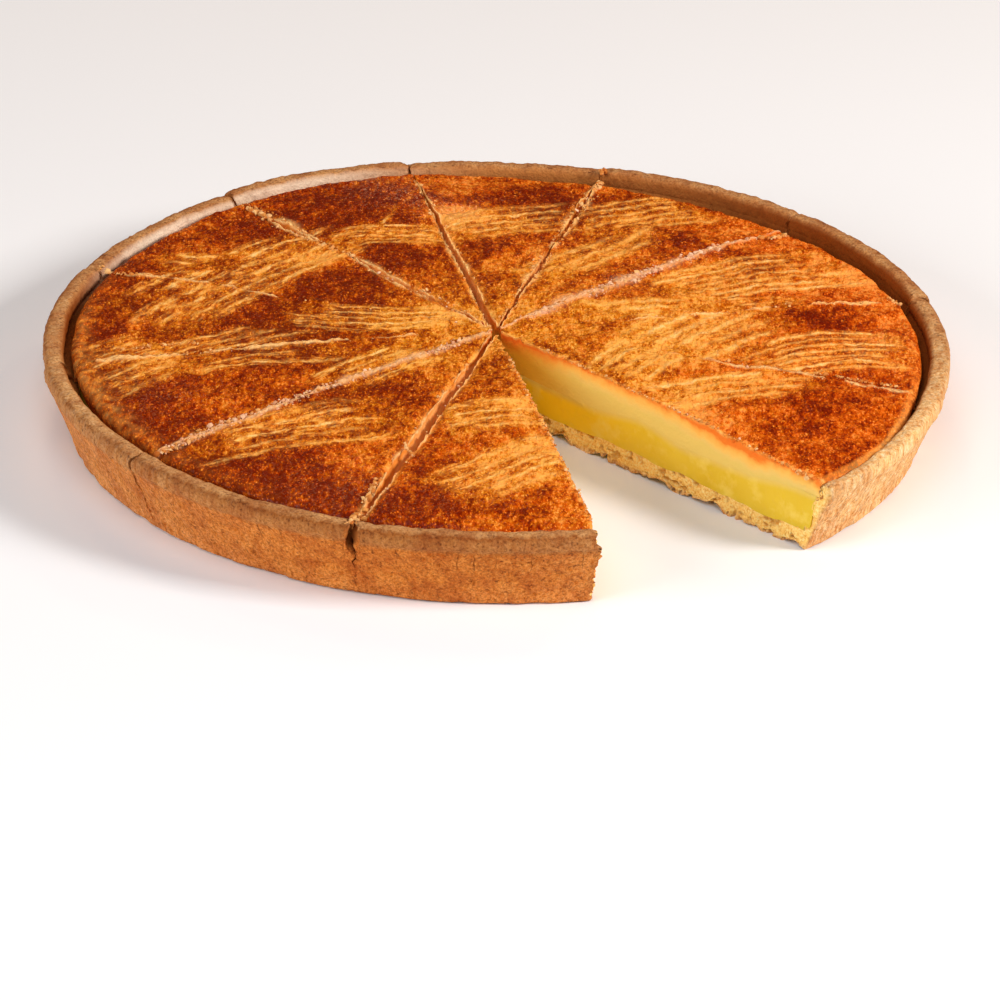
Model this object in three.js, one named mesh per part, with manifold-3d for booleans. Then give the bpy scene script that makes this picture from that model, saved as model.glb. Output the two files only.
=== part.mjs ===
// Gateau basque: a round pastry shell filled with custard under a baked lid, cut into wedges,
// with the place of one wedge left open.
// Millimetres. +Z is up, the table is z = 0 and the axis of the cake stands on the origin.
// Bearings are in degrees, counter-clockwise from +X as seen from above.
import * as THREE from "three";
import { mergeVertices } from "three/addons/utils/BufferGeometryUtils.js";
import Module from "manifold-3d";

// Pastry shell: a flat base, a wall that leans out and a rounded rim
const BASE_RADIUS = 127.2;
const BASE_THICKNESS = 6.3;
const FOOT_ROUND = 1.6;
const RIM_RADIUS = 135;
const RIM_HEIGHT = 25.6;
const RIM_BEAD = 3;
const WALL_FOOT_RADIUS = 123.8;
const WALL_SHELF_RADIUS = 125.4;
const WALL_SHELF_HEIGHT = 18;
const INNER_FILLET = 2;

// Custard: level over most of the base, rising to the wall
const CUSTARD_TOP = 15.6;
const CUSTARD_RISE = 2.8;
const RISE_START = 96;
const LAYER_GAP = 0.3;

// Baked lid: low at the edge, higher in the middle
const LID_RADIUS = 126;
const LID_EDGE_HEIGHT = 23.9;
const LID_CROWN = 3.3;
const CROWN_POWER = 1.6;
const LID_EDGE_ROUND = 2.2;
const LID_RINGS = [117, 109, 99, 88, 77, 66, 55, 44, 33, 22, 11, 0];
const FLOOR_RINGS = [0, 35, 65, 90, 102, 112, 119];

// How finely the round bodies are divided
const SEGMENTS_AROUND = 96;
const BEAD_STEPS = 7;
const ROUND_STEPS = 2;

// Cuts, counter-clockwise from one side of the open place to the other: bearing and width
const CUTS = [
  { bearing: -45, width: 0 },
  { bearing: -15, width: 0.5 },
  { bearing: 14.6, width: 0.5 },
  { bearing: 45.5, width: 0.6 },
  { bearing: 75.6, width: 0.9 },
  { bearing: 102.7, width: 1.3 },
  { bearing: 129.9, width: 1.4 },
  { bearing: 159.8, width: 0.5 },
  { bearing: 190.6, width: 0.5 },
  { bearing: 220.2, width: 0.7 },
  { bearing: 252.8, width: 1.8 },
  { bearing: 283.3, width: 0 },
];
const WEDGE_REACH = 165;
const WEDGE_BELOW = -10;
const WEDGE_TALL = 60;

// Slow rises and dips along the rim and the lid's edge: bearing, spread in degrees and lift
const RIM_SWELLS = [
  [122, 24, 1.2],
  [-45, 26, -2.2],
  [-118, 18, -0.9],
];
const LID_EDGE_SWELLS = [
  [122, 24, 1.7],
  [54, 28, -2.3],
  [-45, 26, -1.2],
  [-100, 30, -0.8],
];

// Puffs that rose in the oven: x, y, radius and height
const PUFFS = [
  [-30, 99, 15, 1.1],
  [-10, 103, 12, 1.3],
  [20, 103, 14, 0.8],
  [-2, 62, 11, 0.8],
  [-33, 52, 10, 0.9],
  [-52, 34, 11, 0.9],
  [-77, 19, 13, 0.9],
  [-103, 28, 15, 1.2],
  [-99, -45, 17, 1.3],
  [-78, -30, 10, 0.7],
  [-52, -50, 12, 0.9],
  [-60, -93, 18, 1.1],
  [-2, -63, 14, 1],
  [-15, -106, 15, 1],
  [13, -108, 12, 0.9],
  [56, 76, 14, 1],
  [78, 58, 12, 0.8],
  [100, 20, 16, 1.3],
  [112, -6, 12, 0.8],
  [89, -40, 13, 1],
  [68, -54, 15, 0.9],
  [33, 2, 10, 0.6],
];

// Colours of the three layers
const SHELL_COLOUR = 0xc98c4e;
const CUSTARD_COLOUR = 0xe8c937;
const LID_COLOUR = 0xb8621f;
const SHELL_ROUGHNESS = 0.85;
const CUSTARD_ROUGHNESS = 0.3;
const LID_ROUGHNESS = 0.4;

const wasm = await Module();
wasm.setup();
const { degToRad, radToDeg, smoothstep } = THREE.MathUtils;

// Points on an arc of a profile, between two angles in degrees
function arc(radius, height, round, from, to, steps) {
  const points = [];
  for (let i = 0; i <= steps; i += 1) {
    const angle = degToRad(from + ((to - from) * i) / steps);
    points.push([radius + round * Math.cos(angle), height + round * Math.sin(angle)]);
  }
  return points;
}

// Sum of the swells at a bearing
function swellAt(swells, bearing) {
  let lift = 0;
  for (const [centre, spread, height] of swells) {
    const turn = THREE.MathUtils.euclideanModulo(bearing - centre + 180, 360) - 180;
    lift += height * Math.exp(-((turn / spread) ** 2));
  }
  return lift;
}

// Sum of the puffs at a place on the lid
function puffAt(x, y) {
  let lift = 0;
  for (const [centreX, centreY, radius, height] of PUFFS) {
    lift += height * Math.exp(-((x - centreX) ** 2 + (y - centreY) ** 2) / radius ** 2);
  }
  return lift;
}

function custardTopAt(radius) {
  return CUSTARD_TOP + CUSTARD_RISE * smoothstep(radius, RISE_START, WALL_SHELF_RADIUS);
}

function lidTopAt(radius) {
  return LID_EDGE_HEIGHT + LID_CROWN * (1 - (radius / LID_RADIUS) ** CROWN_POWER);
}

// Profiles run from the axis at the bottom, round the outside and back to the axis at the top
function shellProfile() {
  const footRadius = BASE_RADIUS - FOOT_ROUND;
  const filletRadius = WALL_FOOT_RADIUS - INNER_FILLET;
  return [
    [0, 0],
    ...arc(footRadius, FOOT_ROUND, FOOT_ROUND, -90, -10, ROUND_STEPS),
    ...arc(RIM_RADIUS - RIM_BEAD, RIM_HEIGHT - RIM_BEAD, RIM_BEAD, -18, 205, BEAD_STEPS),
    [WALL_SHELF_RADIUS, WALL_SHELF_HEIGHT],
    ...arc(filletRadius, BASE_THICKNESS + INNER_FILLET, INNER_FILLET, 0, -90, ROUND_STEPS),
    [0, BASE_THICKNESS],
  ];
}

function custardProfile() {
  const footRadius = WALL_FOOT_RADIUS - INNER_FILLET - LAYER_GAP;
  const footHeight = BASE_THICKNESS + INNER_FILLET + LAYER_GAP;
  const topRadii = FLOOR_RINGS.slice().reverse();
  const shoulder = WALL_SHELF_RADIUS - 2 * LAYER_GAP;
  return [
    [0, BASE_THICKNESS + LAYER_GAP],
    ...arc(footRadius, footHeight, INNER_FILLET, -90, 0, ROUND_STEPS),
    [shoulder, custardTopAt(shoulder) - LAYER_GAP],
    ...topRadii.map((radius) => [radius, custardTopAt(radius)]),
  ];
}

function lidProfile() {
  const edgeRadius = LID_RADIUS - LID_EDGE_ROUND;
  const edgeHeight = lidTopAt(edgeRadius) - LID_EDGE_ROUND;
  return [
    ...FLOOR_RINGS.map((radius) => [radius, custardTopAt(radius) + LAYER_GAP]),
    [edgeRadius, custardTopAt(edgeRadius) + LAYER_GAP],
    ...arc(edgeRadius, edgeHeight, LID_EDGE_ROUND, -15, 90, ROUND_STEPS + 1),
    ...LID_RINGS.map((radius) => [radius, lidTopAt(radius)]),
  ];
}

// Turns a profile into a closed round body and lifts each point by the amount given for it
function turned(profile, liftAt) {
  const points = profile.map(([radius, height]) => new THREE.Vector2(radius, height));
  const lathe = new THREE.LatheGeometry(points, SEGMENTS_AROUND);
  lathe.rotateX(Math.PI / 2);
  const spots = lathe.getAttribute("position");
  for (let i = 0; i < spots.count; i += 1) {
    const [x, y, z] = [spots.getX(i), spots.getY(i), spots.getZ(i)];
    spots.setZ(i, z + liftAt(x, y, z));
  }
  return solidOf(lathe);
}

// Welds a geometry and hands it to the cutting library
function solidOf(geometry) {
  geometry.deleteAttribute("normal");
  geometry.deleteAttribute("uv");
  const welded = mergeVertices(geometry);
  const corners = welded.getIndex().array;
  const kept = [];
  for (let i = 0; i < corners.length; i += 3) {
    const [a, b, c] = corners.slice(i, i + 3);
    if (a !== b && b !== c && c !== a) {
      kept.push(a, b, c);
    }
  }
  const vertProperties = new Float32Array(welded.getAttribute("position").array);
  const triVerts = new Uint32Array(kept);
  return new wasm.Manifold(new wasm.Mesh({ numProp: 3, vertProperties, triVerts }));
}

function shellLift(x, y, z) {
  const bearing = radToDeg(Math.atan2(y, x));
  return swellAt(RIM_SWELLS, bearing) * smoothstep(z, WALL_SHELF_HEIGHT, RIM_HEIGHT - RIM_BEAD);
}

function lidLift(x, y, z) {
  const reach = Math.hypot(x, y) / LID_RADIUS;
  const bearing = radToDeg(Math.atan2(y, x));
  const lift = swellAt(LID_EDGE_SWELLS, bearing) * reach ** 3 + puffAt(x, y);
  const floor = custardTopAt(LID_RADIUS) + LAYER_GAP;
  return lift * smoothstep(z, floor, LID_EDGE_HEIGHT - LID_EDGE_ROUND);
}

// A tall wedge between two cuts, each side set back by half the width of its cut
function wedge(first, last) {
  const start = degToRad(first.bearing);
  const end = degToRad(last.bearing);
  const spread = Math.sin(end - start);
  const alongStart = last.width / 2 / spread;
  const alongEnd = first.width / 2 / spread;
  const tipX = alongStart * Math.cos(start) + alongEnd * Math.cos(end);
  const tipY = alongStart * Math.sin(start) + alongEnd * Math.sin(end);
  const outline = new THREE.Shape();
  outline.moveTo(tipX, tipY);
  outline.lineTo(tipX + WEDGE_REACH * Math.cos(start), tipY + WEDGE_REACH * Math.sin(start));
  outline.lineTo(tipX + WEDGE_REACH * Math.cos(end), tipY + WEDGE_REACH * Math.sin(end));
  outline.closePath();
  const prism = new THREE.ExtrudeGeometry(outline, { depth: WEDGE_TALL, bevelEnabled: false });
  prism.translate(0, 0, WEDGE_BELOW);
  return solidOf(prism);
}

// A named mesh from a cut solid
function meshOf(name, solid, color, roughness) {
  const cut = solid.getMesh();
  const geometry = new THREE.BufferGeometry();
  geometry.setAttribute("position", new THREE.BufferAttribute(cut.vertProperties, 3));
  geometry.setIndex(new THREE.BufferAttribute(cut.triVerts, 1));
  geometry.computeVertexNormals();
  const material = new THREE.MeshStandardMaterial({ color, roughness, metalness: 0 });
  const mesh = new THREE.Mesh(geometry, material);
  mesh.name = name;
  return mesh;
}

// Whole layers, then the wedges cut from them
const shell = turned(shellProfile(), shellLift);
const custard = turned(custardProfile(), () => 0);
const lid = turned(lidProfile(), lidLift);

const cake = new THREE.Group();
cake.name = "gateau_basque";
for (let i = 1; i < CUTS.length; i += 1) {
  const knife = wedge(CUTS[i - 1], CUTS[i]);
  const number = String(i).padStart(2, "0");
  cake.add(meshOf(`shell_${number}`, shell.intersect(knife), SHELL_COLOUR, SHELL_ROUGHNESS));
  cake.add(meshOf(`custard_${number}`, custard.intersect(knife), CUSTARD_COLOUR, CUSTARD_ROUGHNESS));
  cake.add(meshOf(`lid_${number}`, lid.intersect(knife), LID_COLOUR, LID_ROUGHNESS));
}

export default cake;
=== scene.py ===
# %% [markdown]
# # A gateau basque
# The cake is a pastry shell full of custard under a browned, fork-scored lid. It is cut into wedges, and
# the place of one wedge is open, so the layers show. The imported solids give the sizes. This lesson dresses
# them: each wedge gets a fine shell, custard and lid in place of its three plain solids, and crumbs lie on
# top.

# %% Load the frame
import math
from collections import namedtuple

import bmesh
import bpy
import numpy as np
from mathutils import Matrix


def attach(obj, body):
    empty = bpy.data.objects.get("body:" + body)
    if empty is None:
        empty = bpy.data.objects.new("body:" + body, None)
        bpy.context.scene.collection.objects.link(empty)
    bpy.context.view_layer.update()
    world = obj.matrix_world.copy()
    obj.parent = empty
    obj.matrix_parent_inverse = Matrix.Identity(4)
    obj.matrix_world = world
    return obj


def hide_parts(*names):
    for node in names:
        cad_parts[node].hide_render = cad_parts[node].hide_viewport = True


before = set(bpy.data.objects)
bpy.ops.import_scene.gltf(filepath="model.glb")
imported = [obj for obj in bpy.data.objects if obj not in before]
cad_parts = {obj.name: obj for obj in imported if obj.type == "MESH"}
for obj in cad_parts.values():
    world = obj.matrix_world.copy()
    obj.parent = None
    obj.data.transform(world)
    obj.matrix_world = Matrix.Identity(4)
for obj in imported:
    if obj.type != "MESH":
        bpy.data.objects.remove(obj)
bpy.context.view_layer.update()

MM = 0.001

# %% [markdown]
# ## Sizes
# These are the real sizes in millimetres, the same as those of the solids, so each new piece falls on its
# solid without any fitting. Heights are above the table and radii are from the axis of the cake. A swell is
# a slow rise of an edge: its bearing in degrees, its spread in degrees and its height.

# %% Sizes of the layers
BASE_THICKNESS = 6.3
RIM_RADIUS = 135
RIM_HEIGHT = 25.6
RIM_BEAD = 3
WALL_SHELF_RADIUS = 125.4
CUSTARD_TOP = 15.6
CUSTARD_RISE = 2.8
RISE_START = 96
LID_RADIUS = 126
LID_EDGE_HEIGHT = 23.9
LID_CROWN = 3.3
CROWN_POWER = 1.6
LID_EDGE_ROUND = 2.4
RIM_SWELLS = [(122, 24, 1.2), (-45, 26, -2.2), (-118, 18, -0.9)]
LID_EDGE_SWELLS = [(122, 24, 1.7), (54, 28, -2.3), (-45, 26, -0.6), (-100, 30, -0.8)]
print("cake", 2 * RIM_RADIUS, "mm across")

# %% [markdown]
# ## Cuts
# A knife leaves each cut a little different. Some gape, some closed up again under a line of crumbs. Each
# cut has its bearing, how wide it gapes along the radius, how wide its crumb line is, how far it strays
# from a straight line, the height in the outer wall where it ends, and how much its crumbs are pale dust
# from inside. The first and last cuts are the two faces of the open place, so they don't stray.

# %% The cuts, counter-clockwise from one face of the open place to the other
Cut = namedtuple("Cut", "bearing gape crumbs stray root dust")
Wedge = namedtuple("Wedge", "number first last tip settle")
CUTS = [
    Cut(-45, [(0, 0.4), (135, 0.4)], [(0, 0.0), (135, 0.0)], 0.0, -9, 0.0),
    Cut(-15, [(0, 0.1), (60, 0.2), (135, 0.3)],
        [(0, 0.0), (50, 0.1), (75, 0.9), (110, 0.9), (135, 0.3)], 1.0, 6, 0.2),
    Cut(14.6, [(0, 0.1), (60, 0.1), (135, 0.5)],
        [(0, 0.0), (40, 0.3), (80, 0.7), (120, 0.6), (135, 0.2)], 0.9, 4, 0.0),
    Cut(45.5, [(0, 0.1), (100, 0.1), (115, 0.5), (135, 0.3)],
        [(0, 0.6), (15, 1.2), (25, 1.9), (60, 2.0), (85, 1.5), (104, 0.9), (112, 0.3), (135, 0.2)],
        0.7, 6, 1.0),
    Cut(75.6, [(0, 0.9), (35, 1.4), (55, 1.9), (66, 0.5), (80, 1.2), (104, 2.0), (118, 0.4), (135, 0.2)],
        [(0, 0.6), (50, 0.9), (75, 1.1), (110, 1.3), (135, 1.0)], 0.5, 8, 0.0),
    Cut(102.7, [(0, 2.6), (20, 2.3), (45, 1.9), (90, 1.5), (104, 0.7), (118, 0.4), (135, 0.8)],
        [(0, 0.5), (50, 0.8), (100, 0.7), (135, 0.2)], 0.5, 6, 0.0),
    Cut(129.9, [(0, 0.6), (30, 1.9), (58, 1.9), (70, 0.6), (90, 0.9), (104, 2.8), (116, 0.7), (135, 0.9)],
        [(0, 0.5), (50, 0.8), (75, 1.1), (112, 1.3), (135, 0.5)], 0.8, 6, 0.1),
    Cut(159.8, [(0, 0.1), (60, 0.1), (100, 0.3), (135, 0.5)],
        [(0, 0.0), (50, 0.3), (110, 1.0), (135, 0.6)], 1.0, 5, 0.1),
    Cut(190.6, [(0, 0.1), (90, 0.15), (110, 0.4), (135, 0.2)],
        [(0, 0.0), (40, 0.3), (70, 1.0), (115, 1.2), (135, 0.2)], 1.2, 6, 0.1),
    Cut(220.2, [(0, 0.1), (90, 0.1), (120, 0.4), (130, 0.9), (135, 1.4)],
        [(0, 0.6), (20, 1.4), (90, 1.7), (120, 1.1), (135, 0.4)], 1.0, 2, 0.8),
    Cut(252.8, [(0, 1.2), (25, 2.6), (60, 3.4), (95, 3.2), (112, 1.8), (124, 2.4), (125.5, 0.4), (129, 0.9),
                (135, 4.4)],
        [(0, 0.3), (60, 0.4), (110, 0.8), (135, 0.3)], 1.5, 8, 0.2),
    Cut(283.3, [(0, 0.4), (135, 0.4)], [(0, 0.0), (135, 0.0)], 0.0, -9, 0.0),
]
# How far each wedge's rim was nudged by the knife: up and out
SETTLE = [(0.1, 0.3), (-0.5, -0.3), (0.2, 0.1), (0.0, 0.2), (-0.8, -0.3), (-0.1, -0.3), (-0.9, -0.9),
          (-0.5, -0.7), (-0.1, -0.1), (0.2, 0.15), (-0.3, 0.15)]


def along_cut(stations, radius):
    return np.interp(radius, [r for r, _ in stations], [amount for _, amount in stations])


wedges = []
for number, (first, last) in enumerate(zip(CUTS, CUTS[1:]), 1):
    mouth = (first.gape[0][1] + last.gape[0][1]) / 2 + 0.5
    tip = mouth / math.radians(last.bearing - first.bearing) + 0.4
    wedges.append(Wedge(number, first, last, tip, SETTLE[number - 1]))
OPEN_WEDGES = (1, len(wedges))
print(len(wedges), "wedges")

# %% [markdown]
# ## Helpers
# Pastry is irregular at every size. `grain` gives smooth random bumps of a chosen size from a seeded table,
# so every run makes the same cake. `block` is a cube whose sides are divided into grids by subdividing its
# edges one direction at a time. Its corners run from 0 to 1, so each point knows how far across, along and
# up it is. `plain_side` swaps the grid of a hidden side for one face.

# %% Helpers for bumps and blocks
LATTICE = np.random.default_rng(21).uniform(-1, 1, (31, 31, 31))
TURN = np.array(Matrix.Rotation(0.7, 3, "X") @ Matrix.Rotation(1.1, 3, "Z"))


def smooth(low, high, value):
    part = np.clip((value - low) / (high - low), 0, 1)
    return part * part * (3 - 2 * part)


def grain(points, size, seed=0):
    spot = (points @ TURN) / size + 5.3 * seed
    cell = np.floor(spot).astype(int)
    part = spot - cell
    part = part * part * (3 - 2 * part)
    total = np.zeros(len(points))
    for corner in np.ndindex(2, 2, 2):
        weight = np.prod(np.where(corner, part, 1 - part), axis=1)
        total += weight * LATTICE[tuple(((cell + corner) % len(LATTICE)).T)]
    return total


def block(across, along, up):
    bm = bmesh.new()
    bmesh.ops.create_cube(bm, size=1, matrix=Matrix.Translation((0.5, 0.5, 0.5)))
    for axis, parts in enumerate((across, along, up)):
        edges = [e for e in bm.edges if abs(e.verts[1].co[axis] - e.verts[0].co[axis]) > 0.5]
        bmesh.ops.subdivide_edges(bm, edges=edges, cuts=parts - 1, use_grid_fill=True)
    return bm


def plain_side(bm, hidden):
    faces = [f for f in bm.faces if all(hidden(v.co) for v in f.verts)]
    bmesh.ops.delete(bm, geom=faces, context="FACES")
    bmesh.ops.contextual_create(bm, geom=[e for e in bm.edges if e.is_boundary])


def read_points(mesh):
    flat = np.empty(3 * len(mesh.vertices))
    mesh.vertices.foreach_get("co", flat)
    return flat.reshape(-1, 3)


print("lattice of", LATTICE.size, "values")

# %% [markdown]
# ## Heights
# The rim, the lid and the custard rise and dip. The slow swells and the puffs are those of the solids. The
# layer between base and custard, and the one between custard and lid, waver by about a millimetre as baked
# layers do, and both neighbours read the same function, so they always touch.

# %% Heights of the layers
PUFFS = [
    (-30, 99, 15, 1.1), (-10, 103, 12, 1.3), (20, 103, 14, 0.8), (-2, 62, 11, 0.8), (-33, 52, 10, 0.9),
    (-52, 34, 11, 0.9), (-77, 19, 13, 0.9), (-103, 28, 15, 1.2), (-99, -45, 17, 1.3), (-78, -30, 10, 0.7),
    (-52, -50, 12, 0.9), (-60, -93, 18, 1.1), (-2, -63, 14, 1.0), (-15, -106, 15, 1.0), (13, -108, 12, 0.9),
    (56, 76, 14, 1.0), (78, 58, 12, 0.8), (100, 20, 16, 1.3), (112, -6, 12, 0.8), (89, -40, 13, 1.0),
    (68, -54, 15, 0.9), (33, 2, 10, 0.6),
]


def swell_at(swells, bearing):
    lift = np.zeros_like(bearing)
    for centre, spread, height in swells:
        turn = (np.degrees(bearing) - centre + 180) % 360 - 180
        lift += height * np.exp(-((turn / spread) ** 2))
    return lift


def spots_at(spots, x, y):
    return sum(height * np.exp(-((x - cx) ** 2 + (y - cy) ** 2) / radius**2)
               for cx, cy, radius, height in spots)


def base_top(x, y):
    flat = np.column_stack((x, y, np.zeros_like(x)))
    return BASE_THICKNESS + 0.9 * grain(flat, 13, 1) + 0.5 * grain(flat, 4, 2)


# Where the custard swells under the lid: x, y, radius, amount
CUSTARD_SWELLS = [(43, -43, 11, 2.2)]


def custard_top(x, y):
    flat = np.column_stack((x, y, np.zeros_like(x)))
    rise = CUSTARD_RISE * smooth(RISE_START, WALL_SHELF_RADIUS, np.hypot(x, y))
    top = CUSTARD_TOP + rise + spots_at(CUSTARD_SWELLS, x, y)
    return top + 0.7 * grain(flat, 17, 3) + 0.2 * grain(flat, 5, 4)


def lid_top(x, y):
    reach = np.hypot(x, y) / LID_RADIUS
    edge = swell_at(LID_EDGE_SWELLS, np.arctan2(y, x)) * reach**3
    return LID_EDGE_HEIGHT + LID_CROWN * (1 - reach**CROWN_POWER) + edge + spots_at(PUFFS, x, y)


print("lid crown at", round(float(lid_top(np.array([0.0]), np.array([0.0]))[0]), 1), "mm")

# %% [markdown]
# ## Fork marks
# Before baking, a fork was dragged over the egg wash in bands. Each drag is a start, an end, a bend, a
# number of tines and their spacing at both ends. In its own frame a drag is a shallow arc, so a point's
# place among the tines is one subtraction, and no curve has to be searched. The place is kept as a smooth
# number, whole on each tine, and so is the way along the drag, so that the finish can draw lines finer than
# the mesh.

# %% Fork drags in plan: x0, y0, x1, y1, bend, tines, spacing at start, spacing at end
DRAGS = [
    (-104, 6, -50, 68, 3, 6, 6.6, 4.6),
    (-102, 50, -78, 50, -1, 3, 6.0, 5.0),
    (-52, 66, -17, 72, 2, 5, 3.4, 3.4),
    (-62, 11, -6, 11, -3, 5, 4.2, 2.8),
    (-16, 74, 24, 90, 3, 5, 4.2, 4.6),
    (25, 83, 62, 104, 2, 6, 4.0, 4.4),
    (11, 42, 46, 82, -2, 3, 5.5, 6.0),
    (52, 32, 106, 60, 2, 7, 3.6, 4.8),
    (28, 15, 90, 25, 2, 3, 4.5, 4.5),
    (48, -10, 76, 22, 1, 6, 5.5, 6.5),
    (33, -32, 49, -8, 1, 5, 4.5, 5.0),
    (76, -20, 124, -6, 6, 7, 3.8, 4.0),
    (48, -43, 93, -29, 2, 4, 5.0, 5.0),
    (-113, -38, -58, -1, 5, 4, 6.0, 4.5),
    (-124, -26, -102, -8, 3, 4, 4.0, 4.0),
    (-96, -27, -46, -16, 2, 3, 5.0, 5.0),
    (-88, -82, -30, -58, 2, 5, 4.8, 5.6),
    (-14, -63, 13, -55, 2, 4, 5.0, 5.0),
    (-12, -106, 20, -78, 1, 5, 5.2, 5.2),
    (-48, -38, -20, -14, 1, 4, 5.0, 4.5),
    (-44, 64, -32, 94, -2, 1, 3.0, 3.0),
]
TINE_SPACING = 4.8
TINE_WIDTH = 0.5


def fork_marks(x, y):
    flat = np.column_stack((x, y, np.zeros_like(x)))
    wander = 0.55 * grain(flat, 9, 5) + 0.2 * grain(flat, 3.5, 28)
    tine, way, score, best, second = (np.zeros_like(x) for _ in range(5))
    for index, (x0, y0, x1, y1, bend, tines, near, far) in enumerate(DRAGS):
        length = math.hypot(x1 - x0, y1 - y0)
        dx, dy = (x1 - x0) / length, (y1 - y0) / length
        part = ((x - x0) * dx + (y - y0) * dy) / length
        aside = (y - y0) * dx - (x - x0) * dy - bend * 4 * part * (1 - part) + wander
        middle = (tines - 1) / 2
        place = aside / (near + (far - near) * np.clip(part, 0, 1)) + middle
        number = np.clip(np.rint(place), 0, tines - 1).astype(int)
        chance = np.random.default_rng(100 + index)
        start = chance.uniform(-0.05, 0.25, tines)[number]
        end = chance.uniform(0.75, 1.05, tines)[number]
        depth = chance.uniform(0.55, 1.0, tines)[number]
        drawn = smooth(start - 0.05, start + 0.05, part) * (1 - smooth(end - 0.06, end + 0.06, part))
        mask = smooth(-0.15, 0.05, part) * (1 - smooth(0.95, 1.15, part))
        mask = mask * (1 - smooth(0, 1, np.abs(place - middle) - middle))
        front = mask > best
        second = np.where(front, best, np.maximum(second, mask))
        best = np.maximum(best, mask)
        tine = np.where(front, place + 20 * index, tine)
        way = np.where(front, part * length, way)
        score = np.where(front, depth * drawn * (np.abs(place - number) < 0.5), score)
    return tine, way, score * smooth(0, 0.25, best - second), best


def tine_line(tine, score):
    away = np.abs(tine - np.rint(tine)) * TINE_SPACING
    return score * np.exp(-((away / TINE_WIDTH) ** 2))


print(sum(drag[5] for drag in DRAGS), "tine marks")

# %% [markdown]
# ## From block to wedge
# A block's points say how far across the wedge they are. `sides` turns that into a bearing: the two cuts at
# that radius, set back by half the gape and roughened, and the points spread between them. Points crowd
# towards the cuts, because that is where the crumb is. It also says where the crumb has holes, which the
# finish darkens as painted shade.

# %% Place points between two cuts
CROWDING = 0.4


def sides(wedge, radius, height, rough, holes=0.0, shut=0.1):
    bearings, pits = [], []
    for cut, way in ((wedge.first, 1), (wedge.last, -1)):
        lane = np.column_stack((radius, height, np.full_like(radius, 3 * cut.bearing)))
        stray = smooth(121, 129, radius) * (grain(lane, 5, 26) + 0.8 * grain(lane, 1.7, 41))
        stray = stray + 0.7 * smooth(20, 45, radius) * grain(lane * (1, 0, 1), 16, 27)
        in_wall = smooth(cut.root, cut.root + 12, height)
        parted = np.where(radius > WALL_SHELF_RADIUS, smooth(cut.root - 2, cut.root + 5, height), 1)
        side_lane = lane + (0, 0, 50 * way)
        pit = smooth(0.12, 0.5, 0.55 * grain(side_lane, 2.8, 8) + 0.65 * grain(side_lane, 1.1, 35))
        crumble = 0.6 * grain(side_lane, 2.6) + 0.45 * grain(side_lane, 1.1, 7)
        crumble = crumble + 0.3 * grain(side_lane, 0.6, 36)
        half = along_cut(cut.gape, radius) / 2 * np.where(radius > WALL_SHELF_RADIUS, in_wall, shut)
        if cut is CUTS[-1]:
            half = half + smooth(120, 127, radius) * (1.0 + 1.5 * grain(side_lane, 6, 44))
        half = np.maximum(half + parted * (rough * crumble + holes * pit), 0.1 * parted - 0.06)
        bearings.append(math.radians(cut.bearing) + cut.stray * stray / radius
                        + way * np.arcsin(np.minimum(half / radius, 0.8)))
        pits.append(pit)
    return bearings, pits


def crowd(across):
    return across - CROWDING * np.sin(2 * math.pi * across) / (2 * math.pi)


def kerf_side(wedge, across):
    """1 beside a cut that closed again, 0 beside the open place."""
    return np.where(across < 0.5, wedge.number != OPEN_WEDGES[0], wedge.number != OPEN_WEDGES[1]) * 1.0


def mesh_of(bm, name):
    bmesh.ops.recalc_face_normals(bm, faces=bm.faces)
    mesh = bpy.data.meshes.new(name)
    bm.to_mesh(mesh)
    bm.free()
    return mesh


def finish_piece(name, mesh, points, attributes, node=None):
    mesh.vertices.foreach_set("co", (points * MM).ravel())
    for label, values in attributes.items():
        layer = mesh.attributes.new(label, "FLOAT", "POINT")
        layer.data.foreach_set("value", np.ascontiguousarray(values, dtype=np.float32))
    mesh.polygons.foreach_set("use_smooth", np.ones(len(mesh.polygons), dtype=bool))
    mesh.update()
    mesh.set_sharp_from_angle(angle=math.radians(58))
    piece = bpy.data.objects.new(name, mesh)
    bpy.context.scene.collection.objects.link(piece)
    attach(piece, "root")
    if node:
        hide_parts(node)
    return piece


print("crowding", CROWDING)

# %% [markdown]
# ## Shell
# The shell is one sheet of dough pressed into a tin: it runs from the middle along the base, turns up the
# wall and ends in a round rim. A block is bent the same way. Along it goes from the middle to the rim, up
# goes from the outside of the dough to the inside, and its last side swells into the round rim. The wall
# then gets its creases, pits, the step under its lip and an uneven foot. The path over the baked surface,
# from foot over the rim to the inside, is kept for the finish, and so is the depth under that surface.

# %% Bend blocks into shells
WALL_ROWS = 44
THICK_ROWS = 22
SHELL_ACROSS = 124
# Share of the wall, radius and height
OUTER_WALL = [(0, 124.6, 0), (0.05, 126.2, 0.2), (0.1, 127.0, 0.9), (0.15, 127.4, 2.1), (1, 134.85, 21.67)]
# Share of the wall, radius and height above the base's top
INNER_WALL = [(0, 118.5, 0), (0.08, 121.4, 0.3), (0.16, 123.1, 1.1), (0.24, 123.9, 2.8), (0.5, 124.7, 7.2),
              (0.72, 125.6, 11.7), (1, 129.28, 15.03)]
WALL_SHARE, RIM_SHARE = 0.6, 0.25
RIM_SQUARE = 0.65
# The wall is thinner beside the open place
THIN_WALL = [(-43, 18, 2.8)]


def along_wall(stations, wall, column):
    return np.interp(wall, [s[0] for s in stations], [s[column] for s in stations])


def shell_block(base_rows, name):
    rows = base_rows + WALL_ROWS
    bm = block(SHELL_ACROSS, rows, THICK_ROWS)
    for level in (0, 1):
        plain_side(bm, lambda co: abs(co.z - level) < 1e-4 and co.y * rows < base_rows + 0.5)
    return mesh_of(bm, name)


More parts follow.
